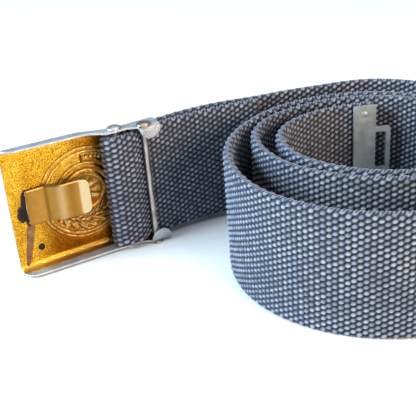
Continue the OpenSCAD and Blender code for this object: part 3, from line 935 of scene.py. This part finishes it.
def build_shell():
    """The stamped box plate: plate, folds, flanges and ears in one sheet, with its medallion."""
    cell = 0.27  # size of the mesh's squares
    left, right = LEFT_END + SHEET / 2, RIGHT_END - SHEET / 2
    u = np.linspace(left, right, int((right - left) / cell))
    round_ear = EAR_U + (EAR_RADIUS - 0.02) * np.cos(np.linspace(0, math.pi, 40))
    round_corner = LEFT_END + CORNER - CORNER * np.sin(np.linspace(0, 1.35, 16))
    extra = np.concatenate([round_ear, round_corner])
    u = np.unique(np.round(np.concatenate([u, extra[(extra > left) & (extra < right)]]), 3))
    u = u[np.concatenate([[True], np.diff(u) > 0.03])]
    plate = np.linspace(-PLATE_REACH, PLATE_REACH, int(2 * PLATE_REACH / cell))
    side_share = np.linspace(0, 1, 26)[1:]
    lower, upper = (PLATE_REACH + (section_reach(u, k)[:, None] - PLATE_REACH) * side_share for k in (-1, 1))
    q = np.concatenate([-lower[:, ::-1], np.repeat(plate[None, :], len(u), 0), upper], 1)
    v, h, way_v, way_h = section(np.abs(q))
    sign = np.sign(q)
    uu = np.repeat(u[:, None], q.shape[1], 1)
    h, way_h = h * sign, way_h * sign
    h = h + flange_lift(uu) * smooth_step(q, 0.6 * PLATE_REACH, PLATE_REACH)
    slope = FLANGE_SLOPE * smooth_step(uu, -16, 8) * smooth_step(v, 0.5, PLATE_V)
    h = h - slope * smooth_step(q, 0.8 * PLATE_REACH, PLATE_REACH)
    on_plate = 1 - smooth_step(np.abs(q), PLATE_REACH - 0.6, PLATE_REACH + 0.2)
    r = np.hypot(uu - EMBLEM_U, h)
    stamped = medallion(uu, h) * on_plate
    clear = 1 - smooth_step(uu, -13, -5)  # the sheet is kept flat beside the webbing
    warp = WARP * drift(uu, h, 24, 21) * clear
    plain = on_plate * smooth_step(r, EMBLEM_RADIUS - 0.3, EMBLEM_RADIUS + 0.3)
    grain = pebbles(uu, q, GRAIN, 31) * (0.3 + 0.7 * clear)
    shift = stamped + warp * on_plate
    dent = DENTS * drift(uu, q, 3.0, 44)
    inner_shift = shift - GRAIN_DEPTH * grain * plain + dent * (1 - on_plate)
    inner = buckle_point(uu, v + way_v * inner_shift, h + way_h * inner_shift)
    normal = buckle_way(0 * uu, way_v, way_h)
    outer_rise = (shift - inner_shift) + GRAIN_OUTSIDE * pebbles(uu, q, GRAIN, 57) * plain
    sunk = np.clip(stamped / 1.5, 0, 1) * 0.75
    # painted warm reflection: the flanges' inner faces get more gold colour towards the right, where warm
    # colours are reflected in the silver
    lean = smooth_step(uu, LEFT_END + 16, RIGHT_END)
    gilt_and_reflection_inside = np.where(np.abs(q) < PLATE_REACH + 0.55 * FOLD_REACH, 1.0, 0.12 + 0.55 * lean)
    off_fold = np.abs(q) - PLATE_REACH - FOLD_REACH
    gilt_and_reflection_inside = np.maximum(gilt_and_reflection_inside, 0.66 * (q < 0) * (1 - smooth_step(off_fold, 0, 4.2)))
    gilt_and_reflection_inside = np.where(np.abs(q) > PLATE_REACH + FOLD_REACH + FLANGE_REACH, 0.1, gilt_and_reflection_inside)
    # painted highlight: a lighter band along the fold between plate and flange
    fold_highlight = bell(np.abs(q) - (PLATE_REACH + 0.55 * FOLD_REACH), 0.5) * 0.8
    high_spots = np.clip(-(np.gradient(np.gradient(stamped, axis=1), axis=1)) * 30, 0, 0.6)
    low = smooth_step(-h, -2, 11) * smooth_step(uu, -36, -23) * on_plate
    shade = np.clip(0.8 * smooth_step(uu, -24, -6) + 1.15 * low, 0, 1.2)
    values = {
        "gilt_and_reflection": (gilt_and_reflection_inside, 0.35, 0.0),
        "worn": (np.maximum(fold_highlight, high_spots), 0.35, 0.25 * plain),
        "sunk": (sunk, 0.0, 0.0),
        "shade": (shade, 0.0, 0.0),
        "plain": (plain, 0.0, 0.0),
    }
    made = solid_sheet("buckle_shell_stamped", inner, normal, SHEET, outer_rise, values)
    finish_piece(made, "shell", GILT, ["buckle_shell"])


def chaikin(points, rounds):
    """Rounds the corners of a line of points."""
    line = np.array(points, float)
    for _ in range(rounds):
        near = 0.75 * line[:-1] + 0.25 * line[1:]
        far = 0.25 * line[:-1] + 0.75 * line[1:]
        mixed = np.stack([near, far], 1).reshape(-1, line.shape[1])
        line = np.concatenate([line[:1], mixed, line[-1:]])
    return line


HOOK_LEFT = -35.5
HOOK_LENGTH = 23.8
HOOK_WIDTH = 14.2
HOOK_SHEET = 1.1
HOOK_RISE = 1.2  # how far its middle lies above the plate's middle
BRAZE = 0.3  # thickness of the braze under its foot


def corner_inset(distance, radius):
    """How far a rounded corner lies inside the full width, at a distance from the end."""
    left = radius - np.clip(distance, 0, radius)
    return radius - np.sqrt(np.maximum(radius**2 - left**2, 0))


def build_hook():
    """The hook strip: brazed foot, step away from the plate, run and flared free tip."""
    bends = [(0, 0), (0.27, 0), (0.36, -0.35), (0.49, -2.75),
             (0.58, -3.2), (0.8, -3.3), (0.88, -3.6), (1, -4.5)]
    line = chaikin([(HOOK_LEFT + a * HOOK_LENGTH, PLATE_V - BRAZE + b) for a, b in bends], 3)
    along = distances(line)
    total = along[-1]
    tip_radius, foot_radius = 2.4, 0.7
    margin = HOOK_SHEET / 2
    foot = margin + np.linspace(0, foot_radius, 5)
    run = np.linspace(margin + foot_radius, total - margin - tip_radius, 80)
    tip = total - margin - np.concatenate([np.linspace(tip_radius, 0.3, 10), np.linspace(0.3, 0, 8)[1:]])
    s = np.concatenate([foot, run[1:], tip[1:]])
    u = np.interp(s, along, line[:, 0])
    v = np.interp(s, along, line[:, 1])
    way = unit(np.gradient(np.stack([u, v], -1), s, axis=0))
    half = HOOK_WIDTH / 2 - margin - corner_inset(total - margin - s, tip_radius)
    half -= corner_inset(s - margin, foot_radius)
    share = np.linspace(-1, 1, 34)[None, :]
    hh = HOOK_RISE + half[:, None] * share
    ss = s[:, None] + 0 * hh
    crown = 0.12 * share**2 + 0.03 * drift(ss, hh, 7, 71)
    toward_u, toward_v = way[:, 1:2] + 0 * hh, -way[:, 0:1] + 0 * hh
    inner = buckle_point(u[:, None] + toward_u * crown, v[:, None] + toward_v * crown, hh)
    normal = buckle_way(toward_u, toward_v, 0 * hh)
    # painted highlight: the tip, a band along the run and a little on the rim
    painted_highlight = 0.85 * smooth_step(ss, total - 5.0, total - 3.6) + 0.35 * bell(ss - 0.55 * total, 1.3)
    # painted shade bands at a third and at 70 % of the length, and the brazed foot stained
    stain_and_painted_shade = 0.75 * bell(ss - 0.335 * total, 0.9) + 0.45 * bell(ss - 0.70 * total, 1.6) + 0.5 * bell(ss, 1.5)
    values = {"painted_highlight": (painted_highlight, 0.3, painted_highlight), "stain_and_painted_shade": (stain_and_painted_shade, 0.5, stain_and_painted_shade)}
    made = solid_sheet("hook_strip", inner[:, ::-1], normal[:, ::-1], HOOK_SHEET, 0 * hh, values)
    finish_piece(made, "shell", HOOK_BRASS, ["catch_hook"])


def wobble(angles, salt, amount):
    waves = [(1.0, 3), (0.7, 5), (0.5, 9)]
    total = sum(high * np.sin(count * angles + (k + 1) * salt) for k, (high, count) in enumerate(waves))
    return 1 + amount * total / 2


def oval(angles, half_u, half_h, salt, amount, power=2.0):
    """Radius of an uneven oval outline at each angle; a higher power makes it squarer."""
    c, s = np.abs(np.cos(angles)), np.abs(np.sin(angles))
    radius = ((c / half_u) ** power + (s / half_h) ** power) ** (-1 / power)
    return radius * wobble(angles, salt, amount)


def residue(name, centre, outline, top, lumps, salt, material=RESIDUE, nodes=(), lean=0.0, taper=0.0):
    """A lump of burnt flux on the plate: an oval that can lean to one side and taper."""
    angles = circle(96)
    shares = np.concatenate([[0.02], np.linspace(0.08, 1, 20)])[:, None]
    radius = oval(angles, *outline)
    across = shares * radius * np.cos(angles)
    up = shares * radius * np.sin(angles)
    u = centre[0] + across * (1 + taper * up) + lean * up
    h = centre[1] + up
    dome = np.sqrt(np.maximum(1 - shares**2, 0))
    rise = top * dome * (1 + lumps * drift(u, h, 1.7, salt) + 0.5 * lumps * drift(u, h, 0.8, salt + 1))
    rise = np.maximum(rise, 0.26)  # clear of the plate's grain and waviness
    rise[-1] = -0.15  # the rim is sunk into the plate
    thin = np.clip(1 - rise / top * 1.2, 0, 1)
    points = buckle_point(u, PLATE_V - rise, h)
    made = make_mesh(name, points, grid_faces(len(shares), len(angles), True), {"thin": thin})
    finish_piece(made, "shell", material, nodes)


def build_residue():
    """Burnt flux round the hook's foot, a lump beside it, a rust-brown run below and a small spot."""
    foot = (HOOK_LEFT + 0.7, HOOK_RISE + 0.2)
    residue("flux_under_hook", foot, (2.1, 7.9, 1.0, 0.10), 1.0, 0.35, 81, nodes=["hook_braze"])
    beside = (HOOK_LEFT - 1.0, HOOK_RISE - 2.2)
    residue("flux_lump", beside, (2.6, 3.2, 2.0, 0.16), 0.8, 0.5, 83)
    run = (1.35, 9.4, 3.0, 0.07, 3.2)
    residue("flux_run", (-36.4, -13.9), run, 0.20, 0.3, 85, RUST, lean=0.24, taper=0.03)
    residue("flux_spot", (-32.2, -16.1), (1.3, 1.3, 4.0, 0.04), 0.3, 0.2, 87)


def pin(name, u, v, salt):
    """A riveted pin standing along the buckle's height: bottom head, shaft and domed top head."""
    head, top, bottom, play = 2.6, 1.1, 0.45, 0.05
    straight = 0.28  # height of the top head's straight rim
    low, high = -HALF_SHELL - play, HALF_SHELL + play
    foot = [(head * a, low - bottom * b) for a, b in ((0.8, 1), (0.95, 0.75), (1, 0.4), (0.97, 0))]
    shaft = [(PIN * 1.02, low + 0.02)]
    shaft += [(PIN, h) for h in np.linspace(low + 0.2, high - 0.2, 40)]
    shaft += [(PIN * 1.02, high - 0.02), (head * 0.97, high)]
    dome = [(head * math.cos(a), high + straight + (top - straight) * math.sin(a))
            for a in np.linspace(0, math.pi / 2, 12)[:-1]]
    profile = np.array([(0.02, low - bottom)] + foot + shaft + dome + [(0.02, high + top)])
    a = circle(ROUND_STEPS)
    heights = profile[:, 1:] + 0 * a
    rough = 1 + 0.03 * drift(np.cos(a) * 3 + 0 * heights, np.sin(a) * 3 + heights * 0.7, 4, salt)
    radii = profile[:, :1] * rough
    points = buckle_point(u + radii * np.cos(a), v + radii * np.sin(a), heights)
    return make_mesh(name, points, grid_faces(len(profile), ROUND_STEPS, True)[:, ::-1])


def build_pins():
    """The guide rod, and the clamp bar as a flat bar with a round pin at each end."""
    finish_piece(pin("guide_rod_pin", ROD_U, ROD_V, 91), "rod", ROD_STEEL, ["guide_rod"])
    finish_piece(pin("clamp_bar_pins", 0.0, 0.0, 93), "loop", BRIGHT_STEEL, ["clamp_bar"])
    half_length = STRAP_WIDTH / 2 - 1.2
    angles = circle(ROUND_STEPS)
    straight = BAR_HALF_WIDTH - BAR_HALF_THICK
    u = np.sign(np.cos(angles)) * straight + BAR_HALF_THICK * np.cos(angles)
    v = BAR_HALF_THICK * np.sin(angles)
    heights = np.array([-1, -1, -0.985, 0.985, 1, 1])[:, None] * half_length
    scale = np.array([0.02, 0.86, 1, 1, 0.86, 0.02])[:, None]
    points = buckle_point(u * scale, v * scale, heights + 0 * u)
    bar = make_mesh("clamp_bar_flat", points, grid_faces(len(scale), ROUND_STEPS, True)[:, ::-1])
    finish_piece(bar, "loop", BRIGHT_STEEL)


build_shell()
build_hook()
build_residue()
build_pins()

# ---------- end catch

CATCH_SHEET = 1.1
CATCH_BAR = 8.6  # width of the leaf that grips the webbing
CATCH_HEIGHT = 37.0
CATCH_RISE = 3.3  # how far its middle lies above the webbing's middle
BACK_SHORT = 1.5  # how much lower the back leaf ends
PAST_END = 0.6  # how far the leaf stands past the webbing's cut end
TAB_LENGTH = 5.9
TAB_HEIGHT = 18.6
NOTCH = 0.55  # cut at the root of the tab
EYE_WIDTH = 4.2
EYE_HEIGHT = 14.8
EYE_FRAME = 1.7  # steel left beyond the eye
CATCH_CORNER = 0.9
TAB_CORNER = 1.3
NOTCH_CORNER = 0.2
EYE_CORNER = 0.35
CATCH_EDGE = 0.16  # softening of the leaves' edges
LEAF_PLAY = 0.03
RIVET_H = CATCH_HEIGHT / 2 - 3.2
END_POINT = LINE[-1]
END_WAY = unit(LINE[-1] - LINE[-5])
END_SIDE = np.array([-END_WAY[1], END_WAY[0]])


def catch_point(x, y, h):
    """Row-frame point from axes at the cut end: x past the end, y to the roll's outer side, h up."""
    flat = END_POINT + x * END_WAY + y * END_SIDE
    return Vector((flat[0] * MM, flat[1] * MM, (STRAP_WIDTH / 2 + CATCH_RISE + h) * MM))


def rounded(corners, radii, steps=6):
    """An outline with each corner rounded by its own radius."""
    points = []
    count = len(corners)
    for k in range(count):
        here = np.array(corners[k], float)
        start = here + radii[k] * unit(corners[k - 1] - here)
        stop = here + radii[k] * unit(corners[(k + 1) % count] - here)
        for t in np.linspace(0, 1, steps):
            points.append((1 - t) ** 2 * start + 2 * t * (1 - t) * here + t * t * stop)
    return points


def catch_leaf(name, outline, holes, y_from, node):
    """A flat leaf with holes and softened edges, made from outlines in x and h."""
    shape = bmesh.new()
    loops = []
    for line in [outline] + holes:
        corners = [shape.verts.new(catch_point(x, y_from, h)) for x, h in line]
        loops.append([shape.edges.new((a, b)) for a, b in zip(corners, corners[1:] + corners[:1])])
    edges = [edge for line in loops for edge in line]
    filled = bmesh.ops.triangle_fill(shape, use_beauty=True, use_dissolve=False, edges=edges)
    faces = [g for g in filled["geom"] if isinstance(g, bmesh.types.BMFace)]
    pushed = bmesh.ops.extrude_face_region(shape, geom=faces)
    moved = [g for g in pushed["geom"] if isinstance(g, bmesh.types.BMVert)]
    bmesh.ops.translate(shape, verts=moved, vec=Vector((*(END_SIDE * CATCH_SHEET * MM), 0)))
    bmesh.ops.recalc_face_normals(shape, faces=shape.faces)
    sharp = [e for e in shape.edges if len(e.link_faces) == 2 and e.calc_face_angle() > math.radians(50)]
    bmesh.ops.bevel(shape, geom=sharp, offset=CATCH_EDGE * MM, segments=3, profile=0.6, affect="EDGES",
                    clamp_overlap=True)
    mesh = bpy.data.meshes.new(name)
    shape.to_mesh(mesh)
    shape.free()
    for polygon in mesh.polygons:
        polygon.use_smooth = polygon.area < 1.2 * MM * MM
    finish_piece(add_object(name, mesh), "inner_end", ZINC, [node])


def stake(name, h, nodes=()):
    """One stake of the catch: a shaft through both leaves with a low worn dome on each face."""
    reach = HALF + LEAF_PLAY + CATCH_SHEET
    middle_x = PAST_END - CATCH_BAR / 2
    head = [(0.02, -0.4), (0.7, -0.34), (1.15, -0.12), (1.3, 0.05), (1.05, 0.3)]
    profile = [(r, y - reach) for r, y in head] + [(r, reach - y) for r, y in head[::-1]]
    shape_points = []
    angles = circle(28)
    for radius, y in profile:
        for a in angles:
            wide = radius * (1 + 0.05 * math.sin(2 * a + h))
            point = catch_point(middle_x + wide * math.cos(a), y, h + wide * math.sin(a))
            shape_points.append([k / MM for k in point])
    made = make_mesh(name, shape_points, grid_faces(len(profile), len(angles), True))
    finish_piece(made, "inner_end", ZINC, nodes)


def build_catch():
    """The end catch: a leaf with its eye tab, a back leaf, and two stakes through both."""
    left, right = PAST_END - CATCH_BAR, PAST_END
    top, tab_top = CATCH_HEIGHT / 2, TAB_HEIGHT / 2
    far = right + TAB_LENGTH
    lower = [(left, -top), (right, -top), (right, -tab_top - NOTCH), (right - NOTCH, -tab_top - NOTCH),
             (right - NOTCH, -tab_top), (far, -tab_top)]
    upper = [(x, -h) for x, h in lower[::-1]]
    radii = [CATCH_CORNER] * 2 + [NOTCH_CORNER] * 3 + [TAB_CORNER]
    front = rounded(lower + upper, radii + radii[::-1])
    eye_right = far - EYE_FRAME
    eye_left = eye_right - EYE_WIDTH
    half_eye = EYE_HEIGHT / 2
    eye = [(eye_left, -half_eye), (eye_right, -half_eye), (eye_right, half_eye), (eye_left, half_eye)]
    eye = rounded(eye, [EYE_CORNER] * 4)
    catch_leaf("catch_leaf", front, [eye], -HALF - LEAF_PLAY - CATCH_SHEET, "end_catch")
    back = [(left, -top), (right, -top), (right, top - BACK_SHORT), (left, top - BACK_SHORT)]
    back = rounded(back, [CATCH_CORNER] * 4)
    catch_leaf("catch_back_leaf", back, [], HALF + LEAF_PLAY, "catch_back_plate")
    stake("catch_stake_upper", RIVET_H, ["catch_rivets"])
    stake("catch_stake_lower", -RIVET_H)


build_catch()

# ---------- floor, light and camera


CAMERA_AT = (-0.01922, -0.25975, 0.1647)  # metres
CAMERA_LENS = 72.26  # millimetres, on a sensor 36 mm wide
CAMERA_PITCH = math.radians(28.8)  # down from level
CAMERA_TIP = math.radians(-4.6)
FLOOR_HALF = 3000.0


def floor_material():
    made, shader = new_material("pale_floor", Roughness=0.7)
    tint = ramp(made, noise(made, position(made), 60, 3), (0.3, 0.80), (0.7, 0.82))
    feed(made, shader.inputs["Base Color"], tint)
    return made


def build_stage():
    """A pale floor and a dim, even sky."""
    corners = [(-1, -1, 0), (1, -1, 0), (1, 1, 0), (-1, 1, 0)]
    floor = make_mesh("floor", FLOOR_HALF * np.array(corners), [[0, 1, 2, 3]], smooth=False)
    floor.data.materials.append(floor_material())
    world = bpy.data.worlds.new("studio")
    world.use_nodes = True
    sky = world.node_tree.nodes["Background"]
    sky.inputs["Color"].default_value = (0.93, 0.96, 1.0, 1)
    sky.inputs["Strength"].default_value = 0.24
    bpy.context.scene.world = world


def area_light(name, at, towards, size, power, colour):
    data = bpy.data.lights.new(name, "AREA")
    data.shape = "SQUARE"
    data.size = size
    data.energy = power
    data.color = colour
    lamp = add_object(name, data)
    lamp.location = at
    lamp.rotation_mode = "QUATERNION"
    lamp.rotation_quaternion = (Vector(towards) - Vector(at)).to_track_quat("-Z", "Y")


def build_lights():
    middle = (0, 0, 0.02)
    area_light("key_left", (-0.75, -0.15, 0.42), middle, 0.45, 18, (0.60, 0.82, 1.0))
    area_light("fill_right", (0.55, -0.60, 0.27), middle, 0.5, 10, (1.0, 0.78, 0.58))
    area_light("top_soft", (0.1, 0.2, 0.9), middle, 0.8, 4.8, (0.95, 0.97, 1.0))


def build_camera():
    """Stands close to the buckle's side and looks slightly down, tipped a little to one side."""
    right = Vector((1, 0, 0))
    up = Vector((0, math.sin(CAMERA_PITCH), math.cos(CAMERA_PITCH)))
    back = Vector((0, -math.cos(CAMERA_PITCH), math.sin(CAMERA_PITCH)))
    tipped_right = math.cos(CAMERA_TIP) * right + math.sin(CAMERA_TIP) * up
    tipped_up = -math.sin(CAMERA_TIP) * right + math.cos(CAMERA_TIP) * up
    data = bpy.data.cameras.new("camera")
    data.sensor_width = 36
    data.lens = CAMERA_LENS
    data.clip_start = 0.01
    camera = add_object("camera", data)
    facing = Matrix((tipped_right, tipped_up, back)).transposed().to_4x4()
    camera.matrix_world = Matrix.Translation(CAMERA_AT) @ facing
    bpy.context.scene.camera = camera


build_stage()
build_lights()
build_camera()
bpy.context.scene.view_settings.view_transform = "Standard"
